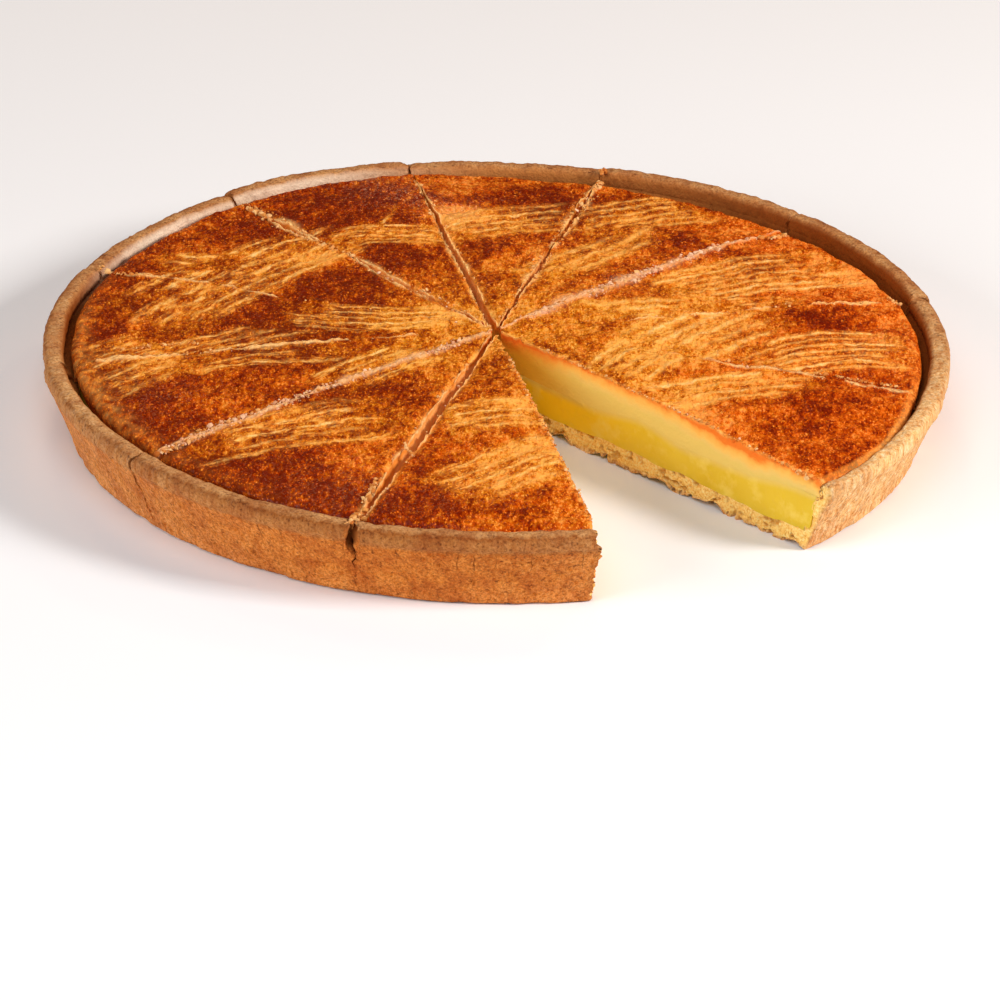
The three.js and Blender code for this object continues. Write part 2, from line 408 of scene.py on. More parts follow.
def shell_piece(wedge):
    base_rows = 300 if wedge.number in OPEN_WEDGES else 34
    mesh = shell_block(base_rows, f"baked_shell_{wedge.number:02d}")
    across, along, up = read_points(mesh).T
    row = along * (base_rows + WALL_ROWS)
    wall = np.clip((row - base_rows) / WALL_ROWS, 0, 1)
    floor = np.clip(row / base_rows, 0, 1)
    on_base = wall == 0
    outer_r, inner_r = (
        np.where(on_base, wedge.tip + (stations[0][1] - wedge.tip) * floor, along_wall(stations, wall, 1))
        for stations in (OUTER_WALL, INNER_WALL))
    outer_z = along_wall(OUTER_WALL, wall, 2)
    middle = math.radians((wedge.first.bearing + wedge.last.bearing) / 2)
    span = math.radians(wedge.last.bearing - wedge.first.bearing)
    bearing = middle + span * (crowd(across) - 0.5)
    inner_r = inner_r + smooth(0, 0.3, wall) * swell_at(THIN_WALL, bearing)
    level = base_top(inner_r * np.cos(bearing), inner_r * np.sin(bearing)) - BASE_THICKNESS
    inner_z = BASE_THICKNESS + level * (1 - smooth(0, 0.25, wall)) + along_wall(INNER_WALL, wall, 2)
    radius = outer_r + (inner_r - outer_r) * up
    height = outer_z + (inner_z - outer_z) * up

    # The last side swells into the round rim
    turn = np.radians(-18 + 223 * up)
    swell = smooth(0.5, 1, wall)
    chord_r = OUTER_WALL[-1][1] + (INNER_WALL[-1][1] - OUTER_WALL[-1][1]) * up
    chord_z = OUTER_WALL[-1][2] + (BASE_THICKNESS + INNER_WALL[-1][2] - OUTER_WALL[-1][2]) * up
    across_rim = np.sign(np.cos(turn)) * np.abs(np.cos(turn)) ** RIM_SQUARE
    above_rim = np.sign(np.sin(turn)) * np.abs(np.sin(turn)) ** RIM_SQUARE
    radius = radius + swell * (RIM_RADIUS - RIM_BEAD + RIM_BEAD * across_rim - chord_r)
    height = height + swell * (RIM_HEIGHT - RIM_BEAD + RIM_BEAD * above_rim - chord_z)

    # Depth under the baked surface, and the path over it
    thick = np.hypot(inner_r - outer_r, inner_z - outer_z)
    to_outer, to_rim = up * thick, (1 - wall) * 20
    to_inner = (1 - up) * thick + (1 - smooth(0.68, 0.8, wall)) * 20
    depth = np.minimum(np.minimum(to_outer, to_rim), to_inner)
    path = WALL_SHARE + RIM_SHARE + (1 - WALL_SHARE - RIM_SHARE) * np.clip((1 - wall) / 0.35, 0, 1)
    path = np.where(depth == to_rim, WALL_SHARE + RIM_SHARE * up, path)
    path = np.where(depth == to_outer, WALL_SHARE * wall, path)

    # The nudges of the knife and the two cuts
    lift, out = wedge.settle
    height = height + smooth(12, 22, height) * (lift + swell_at(RIM_SWELLS, bearing))
    open_side = 1 - kerf_side(wedge, across)
    ragged = 1.2 if wedge.number == len(wedges) else 0.56
    rough = np.where(on_base, 0.95, 0.3 + ragged * open_side)
    holes = np.where(on_base, 1.4, 1.3 * open_side * (1 - swell_at(THIN_WALL, bearing) / 3))
    (start, end), pits = sides(wedge, radius, height, rough, holes)
    bearing = start + (end - start) * crowd(across)
    spot = np.column_stack((radius * np.cos(bearing), radius * np.sin(bearing), height))
    near_cut = np.minimum(bearing - start, end - bearing) * radius
    cut_face = (across == 0) | (across == 1)
    # Holes in the crumb of the cut faces, which the finish paints darker as shade
    cavity = np.where(across < 0.5, pits[0], pits[1]) * cut_face * holes

    # Creases, pits, the lip's step, the ragged foot and the lumps of the rim
    bare = (up == 0) | (along == 1) | ((up == 1) & (wall > 0.7))
    facing = np.where(along == 1, np.cos(turn), np.where(up == 0, 1.0, -1.0))
    skin = 0.12 * grain(spot * (1, 1, 0.16), 1.3, 9) + 0.3 * grain(spot, 15, 10) + 0.12 * grain(spot, 3.5, 11)
    skin = skin - 0.4 * smooth(0.42, 0.75, grain(spot, 1.8, 12))
    skin = skin - 0.75 * smooth(3.5, 0.2, height) * np.maximum(grain(spot, 4.5, 13), 0)
    lip = height - smooth(12, 22, height) * swell_at(RIM_SWELLS, bearing)
    skin = skin + (up == 0) * (-0.4 * smooth(21.2, 20.0, lip) * smooth(1, 4, lip))
    skin = skin + 0.3 * np.exp(-(((lip - 21.3) / 0.8) ** 2)) * np.maximum(grain(spot, 1.6, 31), 0)
    radius = radius + np.where(bare & (wall > 0), facing * skin, 0) + smooth(0.1, 0.6, wall) * out
    crest = smooth(0.85, 1, wall) * np.sin(np.clip(turn, 0, math.pi))
    lumps = 0.35 * grain(spot, 6, 14) + 0.3 * grain(spot, 2.2, 15) + 0.2 * grain(spot, 1.1, 32)
    height = height + np.where(bare, crest * (lumps - 0.6 * np.exp(-near_cut / 0.9)), 0)

    # Crumbs broke away from the lower edge beside the open place
    broken = np.exp(-near_cut / 1.6) * np.where(across < 0.5, wedge.number == 1, wedge.number == len(wedges))
    height = height + broken * (1 - up) ** 2 * on_base * 2.4 * np.maximum(grain(spot, 5, 33) + 0.1, 0)
    spot = np.column_stack((radius * np.cos(bearing), radius * np.sin(bearing), np.maximum(height, 0)))
    marks = {"path": path, "depth": depth, "cavity": cavity, "kerf": kerf_side(wedge, across),
             # The outer wall is painted paler where the key light falls, and faintly on the left, as painted
             # light
             "painted_wall_light": swell_at([(-30, 29, 1.0), (-158, 30, 0.18)], bearing),
             # The rim's inside, by bearing: painted shade where it lies in shade, painted light where the key
             # light falls
             "rim_inside_shade": np.minimum(swell_at([(34, 40, 1.0), (2, 18, 0.6), (176, 18, 1.0)], bearing), 1),
             "rim_inside_light": np.minimum(swell_at([(147, 15, 1.0), (119, 14, 0.75)], bearing), 1),
             "arc": bearing * RIM_RADIUS}
    return finish_piece(mesh.name, mesh, spot, marks, f"shell_{wedge.number:02d}")


shells = [shell_piece(wedge) for wedge in wedges]
print(len(shells), "shells,", len(shells[0].data.polygons), "faces on the first")

# %% [markdown]
# ## Custard
# The custard fills the shell and only its cut faces show, so its blocks are fine along the cut and coarse
# across. A knife leaves set custard nearly smooth, with a faint drag and a few small bubbles.

# %% Fill the shells
CUSTARD_REACH = 124.4


def custard_piece(wedge):
    rows, levels = (230, 22) if wedge.number in OPEN_WEDGES else (50, 6)
    mesh = mesh_of(block(10, rows, levels), f"set_custard_{wedge.number:02d}")
    across, along, up = read_points(mesh).T
    first, last = math.radians(wedge.first.bearing), math.radians(wedge.last.bearing)
    bearing = first + (last - first) * across
    reach = CUSTARD_REACH + (1 + 0.9 * up) * swell_at(THIN_WALL, bearing)
    radius = wedge.tip + (reach - wedge.tip) * along
    x, y = radius * np.cos(bearing), radius * np.sin(bearing)
    low, high = base_top(x, y), custard_top(x, y)
    height = low + (high - low) * up
    (start, end), _ = sides(wedge, np.minimum(radius, WALL_SHELF_RADIUS), height, 0.1, 0.12)
    bearing = start + (end - start) * across
    spot = np.column_stack((radius * np.cos(bearing), radius * np.sin(bearing), height))
    marks = {"under": high - height, "inmost_light": smooth(75, 20, radius)}
    return finish_piece(mesh.name, mesh, spot, marks, f"custard_{wedge.number:02d}")


custards = [custard_piece(wedge) for wedge in wedges]
print(len(custards), "custards")

# %% [markdown]
# ## Lid
# The lid is the face of the cake. Its top is a fine grid that takes the crown, the puffs and the oven's
# blisters. The fork only scratched it, so its lines are a hair of relief and the finish draws the rest. The
# edge rolls over in a quarter circle. Beside a gaping cut the lid sinks, and along a closed cut it carries
# a ridge of crumbs. Browning with painted light and shade, fork lines, thick egg wash, crumbs and depth
# under the skin are kept for the finish.

# %% Browner and paler places on the lid, two of them painted highlights: x, y, radius, amount
BROWNED_AND_HIGHLIGHTS = [
    (-46, 101, 14, 0.40), (-66, 80, 14, 0.32), (-52, 34, 9, 0.30), (-31, 52, 10, 0.52),
    (-65, -10, 16, 0.70), (-54, 90, 15, 0.52), (-30, 88, 9, 0.10), (25, 93, 13, 0.46),
    (-77, 70, 13, 0.22), (30, 68, 9, 0.11), (-113, 26, 9, 0.08), (-113, -12, 9, 0.08),
    (-111, -31, 9, 0.12), (-50, 8, 11, 0.20), (91, 32, 8, -0.12), (-91, -18, 15, -0.28),
    (-92, 9, 9, -0.10), (50, -10, 10, -0.12), (50, 31, 10, 0.14), (9, -49, 8, -0.14), (73, 88, 11, -0.22),
    (-48, 26, 8, 0.12), (-8, 60, 10, 0.27), (-115, 12, 11, 0.28), (-62, 20, 8, 0.20), (-80, 18, 8, 0.10),
    (-104, 28, 14, 0.16), (-72, 6, 8, 0.12), (10, 102, 13, 0.52), (48, 106, 10, 0.38), (55, 78, 11, 0.28),
    (78, 60, 8, 0.15), (78, 50, 13, 0.26), (93, 14, 9, 0.25), (90, 20, 6, 0.12), (40, 105, 7, 0.40),
    (-104, -48, 12, 0.28), (-95, -66, 11, 0.18), (-48, -30, 9, 0.16), (-63, -98, 13, 0.30),
    (-45, -111, 14, 0.78), (-86, -88, 12, 0.16), (-28, -46, 10, 0.26), (-50, -48, 8, 0.15),
    (-28, -66, 7, 0.12), (-10, 111, 8, -0.45), (93, -42, 11, 0.30), (106, -34, 9, 0.06),
    (82, -66, 9, 0.16), (92, -60, 8, 0.10), (118, -20, 8, 0.08), (4, 5, 18, -0.02), (30, 8, 18, -0.08),
    (48, 14, 18, -0.12), (40, -14, 16, -0.10), (-12, 8, 13, -0.48), (-29, -21, 13, -0.12),
    (-10, -42, 10, 0.20), (-14, 89, 8, -0.90), (-36, -89, 15, -0.40), (10, -71, 14, -0.28),
    (-52, 50, 11, -0.52), (61, -50, 16, -0.36), (50, -30, 11, -0.14), (112, 10, 9, -0.14),
    (84, 82, 14, -0.12), (111, 46, 11, -0.26), (-80, -31, 13, -0.16), (-92, 50, 10, -0.12),
]
# Places where the egg wash lies thick: x, y, radius, amount
GLOSSY = [(-13, 90, 9, 1.8), (-36, 108, 12, 1.0), (-25, 99, 8, 1.0), (116, 2, 10, 0.9), (112, -14, 9, 0.5),
          (-40, -104, 18, 0.35), (-98, -46, 14, 0.3), (-4, -104, 12, 0.35), (40, 60, 40, 0.12)]
print(len(BROWNED_AND_HIGHLIGHTS), "browned and", len(GLOSSY), "glossy places")

# %% Bake the lids
LID_ACROSS = 165
LID_ROWS = 285
LID_LEVELS = 12
ROUND_SHARE = 0.05
# Where the lid reaches the rim
FLUSH = [(-38, 20, 5.4)]
# Browning of plain skin, where browning levels off and over how much more
BROWN_START, BROWN_LEVEL, BROWN_SPREAD = 0.485, 0.72, 0.22
# Browner stretches of the outer lid, and painted light and shade along its very edge: paler on the right
# where the key light falls, darker on the left. Bearing, spread and amount
BROWN_OUTER = [(-116, 30, 0.15), (-30, 20, 0.08)]
EDGE_LIGHT_AND_SHADE = [(15, 25, -0.18), (182, 24, 0.20), (-148, 20, 0.12)]


def lid_piece(wedge):
    bm = block(LID_ACROSS, LID_ROWS, LID_LEVELS)
    plain_side(bm, lambda co: co.z < 1e-4)
    mesh = mesh_of(bm, f"browned_lid_{wedge.number:02d}")
    across, along, up = read_points(mesh).T
    middle = math.radians((wedge.first.bearing + wedge.last.bearing) / 2)
    span = math.radians(wedge.last.bearing - wedge.first.bearing)
    bearing = middle + span * (crowd(across) - 0.5)
    edge_walk = np.column_stack((LID_RADIUS * np.cos(bearing), LID_RADIUS * np.sin(bearing), 0 * across))
    torn = swell_at([(52, 30, 1.0)], bearing)
    flush = swell_at(FLUSH, bearing)
    limit = LID_RADIUS + flush + 0.35 * grain(edge_walk, 7, 16) + torn * (0.9 * grain(edge_walk, 3, 17) - 0.6)
    over = np.clip((along - (1 - ROUND_SHARE)) / ROUND_SHARE, 0, 1)
    roll = over * math.pi / 2
    radius = wedge.tip + (limit - LID_EDGE_ROUND - wedge.tip) * np.minimum(along / (1 - ROUND_SHARE), 1)
    reached = np.minimum(flush / FLUSH[0][2], 1)
    radius = radius + LID_EDGE_ROUND * np.sin(roll) - 1.2 * (1 - up) * (along == 1) * (1 - reached)
    drop = LID_EDGE_ROUND * (1 - np.cos(roll)) * (1 - 0.75 * reached)

    x, y = radius * np.cos(bearing), radius * np.sin(bearing)
    height = custard_top(x, y) + (lid_top(x, y) - drop - custard_top(x, y)) * up
    open_side = 1 - kerf_side(wedge, across)
    below = lid_top(x, y) - drop - height
    top_edge = open_side * smooth(2.4, 0.3, below)
    rough = 0.17 - 0.07 * open_side + 0.45 * top_edge
    shut = 1 - 0.85 * smooth(0.3, 6, below)
    (start, end), _ = sides(wedge, radius, height, rough, 0.12 + 1.0 * top_edge, shut)
    bearing = start + (end - start) * crowd(across)
    x, y = radius * np.cos(bearing), radius * np.sin(bearing)
    flat = np.column_stack((x, y, 0 * x))

    # Ridges of crumbs and sunken lips beside the cuts
    ridge, sunk, dust = np.zeros_like(x), np.zeros_like(x), np.zeros_like(x)
    for cut, away in ((wedge.first, (bearing - start) * radius), (wedge.last, (end - bearing) * radius)):
        patchy = 0.35 + 0.45 * cut.dust + (1.2 - 0.5 * cut.dust) * grain(flat, 6, 18)
        reach = np.maximum(along_cut(cut.crumbs, radius) * patchy, 0.02)
        heap = smooth(0.05, 0.2, reach) * np.exp(-((away / reach) ** 2))
        dust = np.where(heap > ridge, cut.dust, dust)
        ridge = np.maximum(ridge, heap)
        pressed = smooth(0.4, 2.2, along_cut(cut.gape, radius)) * (0.8 + 0.4 * grain(flat, 2.3, 37))
        sunk = np.maximum(sunk, pressed * np.exp(-((away / 1.2) ** 2)))
    tine, way, score, band = fork_marks(x, y)
    off_edge = smooth(LID_RADIUS + 1, LID_RADIUS - 7, radius)
    score, band = score * off_edge * (1 - ridge), band * off_edge
    line = tine_line(tine, score)
    blister = 0.6 * grain(flat, 13, 34) + 0.42 * grain(flat, 6, 19) + 0.32 * grain(flat, 2.6, 20)
    blister = blister + 0.2 * grain(flat, 1.25, 21)
    relief = blister + 0.03 * line - 1.1 * sunk
    relief = relief + ridge * (0.45 + 0.5 * grain(flat, 1.1, 22) + 0.3 * grain(flat, 2.3, 23))
    floor = custard_top(x, y) - 0.1
    top = lid_top(x, y) - drop + relief * (1 - 0.6 * over)
    height = floor + (top - floor) * up

    # What the finish needs to know
    brown_and_shading = BROWN_START + 0.12 * spots_at(PUFFS, x, y) + 0.9 * spots_at(BROWNED_AND_HIGHLIGHTS, x, y) - 0.11 * band
    # Painted shade: the lid is browner towards the left, away from the key light
    brown_and_shading = brown_and_shading + 0.20 * smooth(25, -55, x) + 0.17 * grain(flat, 21, 24) + 0.19 * grain(flat, 7, 25)
    brown_and_shading = brown_and_shading - 0.1 * sunk
    left_edge = swell_at([(196, 26, 1.0)], bearing) * smooth(LID_RADIUS - 9, LID_RADIUS - 2, radius)
    chipped = open_side * np.exp(-(np.minimum(bearing - start, end - bearing) * radius / 0.9) ** 2)
    bitten = 0.22 * left_edge + 0.28 * sunk + 0.3 * chipped
    edge_tone = swell_at(BROWN_OUTER, bearing) * smooth(92, 120, radius)
    # The very edge: painted highlight on the right, painted shade on the left
    edge_tone = edge_tone + swell_at(EDGE_LIGHT_AND_SHADE, bearing) * smooth(108, 121, radius)
    # Painted highlight where the lid meets the rim on the right
    rim_edge_highlight = swell_at([(-30, 16, 1.0)], bearing) * smooth(limit - 3.0, limit - 1.4, radius)
    brown_and_shading = brown_and_shading + edge_tone + 0.03 * smooth(30, 80, x)
    levelled = BROWN_LEVEL + BROWN_SPREAD * np.tanh((brown_and_shading - BROWN_LEVEL) / BROWN_SPREAD)
    golden = 0.6 * band + 0.9 * np.exp(-((radius / 42) ** 2)) - 0.45 * smooth(45, 100, x)
    # pale holds bare dough and the painted highlight by the rim
    marks = {"brown_and_shading": np.where(brown_and_shading > BROWN_LEVEL, levelled, brown_and_shading), "golden": np.clip(golden, -1, 1),
             "tine": tine, "score": score, "crumb": ridge, "dust": dust,
             "pale": np.clip(0.4 * rim_edge_highlight + bitten * (1 + 1.1 * grain(flat, 1.6, 43)), 0, 1), "way": way,
             "glossy": spots_at(GLOSSY, x, y), "centre_shade": smooth(42, 8, radius),
             "rind": smooth(70, 94, radius) * smooth(114, 105, radius),
             "depth": np.where(along == 1, 0, np.maximum(top - height, 0)),
             "kerf": kerf_side(wedge, across) * smooth(7, 20, radius)}
    spot = np.column_stack((x, y, height))
    return finish_piece(mesh.name, mesh, spot, marks, f"lid_{wedge.number:02d}")


lids = [lid_piece(wedge) for wedge in wedges]
print(len(lids), "lids,", len(lids[0].data.polygons), "faces on the first")

# %% [markdown]
# ## Crumbs
# A knife throws crumbs along its cuts. One rough ball of a few faces is copied many times with its own size
# and turn, joined into one mesh, and laid on the lid beside the cuts that crumble most. Where the knife
# tore the pastry, the crumbs lie in clumps.

# %% Scatter the crumbs
CRUMB_COUNT = 2000
SMALLEST_CRUMB = 0.16
# Crumbs farther out than this lie on the rim
RIM_FROM = 127.5
# Torn places: x0, y0, x1, y1, half width, number of crumbs, mean size, share of pale dust
CLUMPS = [
    (33, 126, 30, 114, 0.9, 60, 0.55, 0.0), (29, 110, 24, 92, 0.9, 16, 0.36, 0.3),
    (12, 12, 36, 36, 1.5, 130, 0.42, 0.6), (34, 35, 55, 56, 1.6, 130, 0.45, 0.9),
    (54, 55, 74, 76, 1.2, 90, 0.4, 0.9), (61, 62, 67, 68, 1.3, 40, 0.6, 0.5),
    (-71, -58, -80, -66, 1.4, 60, 0.42, 0.6), (-78, -64, -96, -83, 1.7, 130, 0.42, 0.5),
    (-24, -21, -70, -58, 1.2, 120, 0.38, 0.8), (-112, -13, -88, -9, 1.0, 90, 0.32, 0.0),
    (-121, 44, -102, 38, 0.9, 90, 0.36, 0.0), (-26, -76, -23, -84, 0.6, 30, 0.4, 0.0),
    (-33, -98, -36, -112, 1.0, 70, 0.38, 0.0), (-78, 92, -70, 82, 1.0, 90, 0.38, 0.0),
    (80, 80, 90, 84, 1.0, 40, 0.38, 0.0), (94, -23, 118, -29, 1.0, 80, 0.32, 0.0),
    (118, 34, 122, 30, 0.7, 30, 0.38, 0.0), (-56, 64, -42, 52, 0.8, 60, 0.35, 0.0),
    (84, 22, 88, 26, 0.8, 30, 0.35, 0.0), (14, -13.2, 89, -88.2, 0.6, 150, 0.34, 0.1),
    (4.2, -20, 27.6, -121, 0.6, 110, 0.3, 0.1), (86, -86, 90, -89, 1.2, 30, 0.45, 0.0),
    (-36.5, -116, -39.5, -129, 1.6, 45, 0.5, 0.0),
]


def crumb_template():
    bm = bmesh.new()
    bmesh.ops.create_icosphere(bm, subdivisions=1, radius=1)
    return mesh_of(bm, "loose_crumbs")


def crumb_spots(chance):
    spots = []
    cuts = CUTS[1:-1]
    weights = np.array([sum(amount for _, amount in cut.crumbs) for cut in cuts])
    while len(spots) < CRUMB_COUNT:
        cut = cuts[chance.choice(len(cuts), p=weights / weights.sum())]
        radius = chance.uniform(8, 124)
        wide = float(along_cut(cut.crumbs, radius))
        if chance.random() > wide / 1.7:
            continue
        aside = float(along_cut(cut.gape, radius)) / 2 + abs(chance.normal(0, 0.6 * wide + 0.2))
        bearing = math.radians(cut.bearing) + chance.choice((-1, 1)) * aside / radius
        size = min(SMALLEST_CRUMB + chance.exponential(0.13), 0.7)
        x, y = radius * math.cos(bearing), radius * math.sin(bearing)
        spots.append((x, y, size, chance.random() < cut.dust))
    for x0, y0, x1, y1, half, count, mean, pale in CLUMPS:
        for _ in range(count):
            part, aside = chance.random(), chance.normal(0, half / 2)
            length = math.hypot(x1 - x0, y1 - y0)
            x = x0 + (x1 - x0) * part - (y1 - y0) / length * aside
            y = y0 + (y1 - y0) * part + (x1 - x0) / length * aside
            size = min(SMALLEST_CRUMB + chance.exponential(mean - SMALLEST_CRUMB), 1.1)
            spots.append((x, y, size, chance.random() < pale))
    return np.array(spots)


def crumbs_piece():
    chance = np.random.default_rng(7)
    mesh = crumb_template()
    corners = read_points(mesh)
    faces = np.array([list(p.vertices) for p in mesh.polygons])
    spots = crumb_spots(chance)
    x, y = spots[:, 0], spots[:, 1]
    ground = np.where(np.hypot(x, y) < RIM_FROM, lid_top(x, y), RIM_HEIGHT)
    lumps = []
    for (x, y, size, _), level in zip(spots, ground):
        turn = np.array(Matrix.Rotation(chance.uniform(0, 6.3), 3, chance.normal(size=3)))
        lump = corners * chance.uniform(0.55, 1.3, (len(corners), 1)) * (1, 1, 0.75) * size @ turn
        lumps.append(lump + (x, y, level + 0.35 * size))
    points = np.concatenate(lumps)
    mesh.clear_geometry()
    joined = np.concatenate([faces + i * len(corners) for i in range(len(spots))])
    mesh.from_pydata(points.tolist(), [], joined.tolist())
    tone = np.repeat(chance.random(len(spots)) + spots[:, 3], len(corners))
    return finish_piece(mesh.name, mesh, points, {"tone": tone})


crumbs = crumbs_piece()
print(len(crumbs.data.polygons), "faces of crumbs")

# %% [markdown]
# ## Finishes
# Colours are sRGB hex values turned to linear light, and pattern sizes are millimetres on the cake. One
# function adds a node with its settings and links and gives back one of its outputs. Numbers that are the
# same all over are set on the shader's own sockets.

# %% Helpers for finishes
def colour(code):
    channels = [int(code[i:i + 2], 16) / 255 for i in (1, 3, 5)]
    return [c / 12.92 if c <= 0.04045 else ((c + 0.055) / 1.055) ** 2.4 for c in channels] + [1.0]


def add(material, kind, inputs=None, stops=None, out=0, **settings):
    made = material.node_tree.nodes.new("ShaderNode" + kind)
    for name, value in settings.items():
        setattr(made, name, value)
    for socket, value in (inputs or {}).items():
        if isinstance(value, bpy.types.NodeSocket):
            material.node_tree.links.new(value, made.inputs[socket])
        else:
            made.inputs[socket].default_value = value
    if stops:
        ramp = made.color_ramp.elements
        while len(ramp) < len(stops):
            ramp.new(0.5)
        for element, (place, code) in zip(ramp, stops):
            element.position = place
            element.color = colour(code)
    return made.outputs[out] if made.outputs else made


def per_mm(size):
    return 1000 / size


def new_finish(name):
    material = bpy.data.materials.new(name)
    material.use_nodes = True
    material.node_tree.nodes.clear()
    return material


def end_finish(material, inputs, **constants):
    shader = add(material, "BsdfPrincipled", inputs)
    for socket, value in constants.items():
        shader.node.inputs[socket.replace("_", " ")].default_value = value
    add(material, "OutputMaterial", {"Surface": shader})
    return material


print("white is", colour("#ffffff")[:3])

# %% [markdown]
# ### Egg-washed shortcrust, baked
# Egg wash browns into a satin skin that is darkest on the puffs. Under it sits a fine grain, because the
# dough is full of sugar and butter. Fork scratches and crumbs are bare dough, so they are pale and matte.
# At a cut the browning fades over a few millimetres into buttery yellow. Light and shade are painted into
# the browning too: painted highlights on a back puff and along the right edge, painted shade on the left,
# light specks that are partly painted glints, and a cut face painted darker towards the middle as shade.

# %% Finish of the lid
def baked_lid():
    m = new_finish("egg-washed shortcrust")
    where = add(m, "TexCoord", out="Object")
    drawn = add(m, "Mapping", {"Vector": where, "Scale": (1.0, 0.5, 1.0)})
    fine = add(m, "TexNoise", {"Vector": drawn, "Scale": per_mm(1.1), "Detail": 5.0, "Roughness": 0.75})
    mid = add(m, "TexNoise", {"Vector": drawn, "Scale": per_mm(3.2), "Detail": 3.0, "Roughness": 0.6})
    pebble = add(m, "TexNoise", {"Vector": drawn, "Scale": per_mm(0.8), "Detail": 1.0, "Roughness": 0.5})
    mark = {name: add(m, "Attribute", attribute_name=name, out="Fac")
            for name in ("brown_and_shading", "golden", "tine", "way", "score", "crumb", "dust", "pale", "glossy", "rind",
                         "centre_shade", "depth", "kerf")}

    # How the browning shifts from grain to grain, with light specks that are partly lighter grains of dough
    # and partly painted glints
    fine_shift = add(m, "Math", {0: fine, 1: 2.3, 2: -1.15}, operation="MULTIPLY_ADD")
    mid_shift = add(m, "Math", {0: mid, 1: 1.5, 2: -0.75}, operation="MULTIPLY_ADD")
    speck_and_glint = add(m, "TexNoise", {"Vector": drawn, "Scale": per_mm(0.5), "Detail": 0.0})
    speck_and_glint = add(m, "MapRange", {0: speck_and_glint, 1: 0.62, 2: 0.80, 3: 0.0, 4: 0.55})

    # Fork lines, drawn from the place among the tines and broken up along the drag
    stray = add(m, "TexNoise", {"Vector": where, "Scale": per_mm(2.6), "Detail": 2.0})
    place = add(m, "Math", {0: stray, 1: 0.22, 2: mark["tine"]}, operation="MULTIPLY_ADD")
    place = add(m, "Math", {0: place, 1: 0.39}, operation="ADD")
    part = add(m, "Math", {0: place}, operation="FRACT")
    part = add(m, "Math", {0: part, 1: 0.5}, operation="SUBTRACT")
    part = add(m, "Math", {0: part}, operation="ABSOLUTE")
    part = add(m, "Math", {0: fine, 1: -0.45, 2: part}, operation="MULTIPLY_ADD")
    part = add(m, "Math", {0: part, 1: 0.225}, operation="ADD")
    halo = add(m, "MapRange", {0: part, 1: 0.42, 2: 0.0, 3: 0.0, 4: 0.55}, interpolation_type="SMOOTHSTEP")
    line = add(m, "MapRange", {0: part, 1: 0.24, 2: 0.06, 3: 0.0, 4: 0.32})
    line = add(m, "Math", {0: line, 1: halo}, operation="ADD")
    across = add(m, "Math", {0: mark["tine"], 1: TINE_SPACING}, operation="MULTIPLY")
    down = add(m, "Math", {0: mark["way"], 1: 0.17}, operation="MULTIPLY")
    drag = add(m, "CombineXYZ", {0: across, 1: down})
    brushed = add(m, "TexNoise", {"Vector": drag, "Scale": 0.75, "Detail": 3.0, "Roughness": 0.65})
    broken = add(m, "MapRange", {0: brushed, 1: 0.40, 2: 0.56, 3: 0.12, 4: 1.0})
    stroke = add(m, "MapRange", {0: brushed, 1: 0.48, 2: 0.66, 3: 0.0, 4: 0.55})
    worn = add(m, "MapRange", {0: stray, 1: 0.36, 2: 0.56, 3: 0.5, 4: 1.0})
    firmly = add(m, "SeparateXYZ", {0: where}, out="X")
    firmly = add(m, "MapRange", {0: firmly, 1: -0.02, 2: 0.05, 3: 0.0, 4: 0.8})
    broken = add(m, "Math", {0: broken, 1: firmly}, operation="MAXIMUM")
    line = add(m, "Math", {0: line, 1: broken}, operation="MULTIPLY")
    line = add(m, "Math", {0: line, 1: stroke}, operation="MAXIMUM")
    line = add(m, "Math", {0: line, 1: mark["score"]}, operation="MULTIPLY")
    line = add(m, "Math", {0: line, 1: worn}, operation="MULTIPLY")
    scratch = add(m, "Math", {0: line, 1: mark["pale"]}, operation="MAXIMUM", use_clamp=True)
    dough = add(m, "ValToRGB", {"Fac": fine}, stops=[(0.3, "#e69a46"), (0.65, "#fcd28c")])
    bared = add(m, "Math", {0: scratch, 1: 0.55, 2: fine}, operation="MULTIPLY_ADD")
    scored = add(m, "ValToRGB", {"Fac": bared}, stops=[
        (0.45, "#eaa046"), (0.7, "#f4b65c"), (0.95, "#fcd084")])

    # Browned skin, in places more golden than red, and lighter under a fork line
    shade = add(m, "Math", {0: mark["brown_and_shading"], 1: fine_shift}, operation="ADD")
    shade = add(m, "Math", {0: shade, 1: mid_shift}, operation="ADD")
    shade = add(m, "Math", {0: shade, 1: speck_and_glint}, operation="SUBTRACT")
    shade = add(m, "Math", {0: scratch, 1: -0.7, 2: shade}, operation="MULTIPLY_ADD")
    red = add(m, "ValToRGB", {"Fac": shade}, stops=[
        (0.0, "#f48a3a"), (0.2, "#e26c1a"), (0.4, "#c95204"),
        (0.6, "#aa3a00"), (0.8, "#882400"), (1.0, "#6a1400")])
    gold = add(m, "ValToRGB", {"Fac": shade}, stops=[
        (0.0, "#f6ac4c"), (0.2, "#e6922e"), (0.4, "#cf7810"),
        (0.6, "#b05606"), (0.8, "#8e3802"), (1.0, "#702200")])
    patch = add(m, "TexNoise", {"Vector": where, "Scale": per_mm(2.2), "Detail": 4.0, "Roughness": 0.7})
    patch = add(m, "MapRange", {0: patch, 1: 0.4, 2: 0.62, 3: 0.0, 4: 0.6})
    patch = add(m, "Math", {0: mark["golden"], 1: 0.6, 2: patch}, operation="MULTIPLY_ADD", use_clamp=True)
    skin = add(m, "Mix", {0: patch, 6: red, 7: gold}, data_type="RGBA", out=2)
    face = add(m, "Mix", {0: scratch, 6: skin, 7: scored}, data_type="RGBA", out=2)

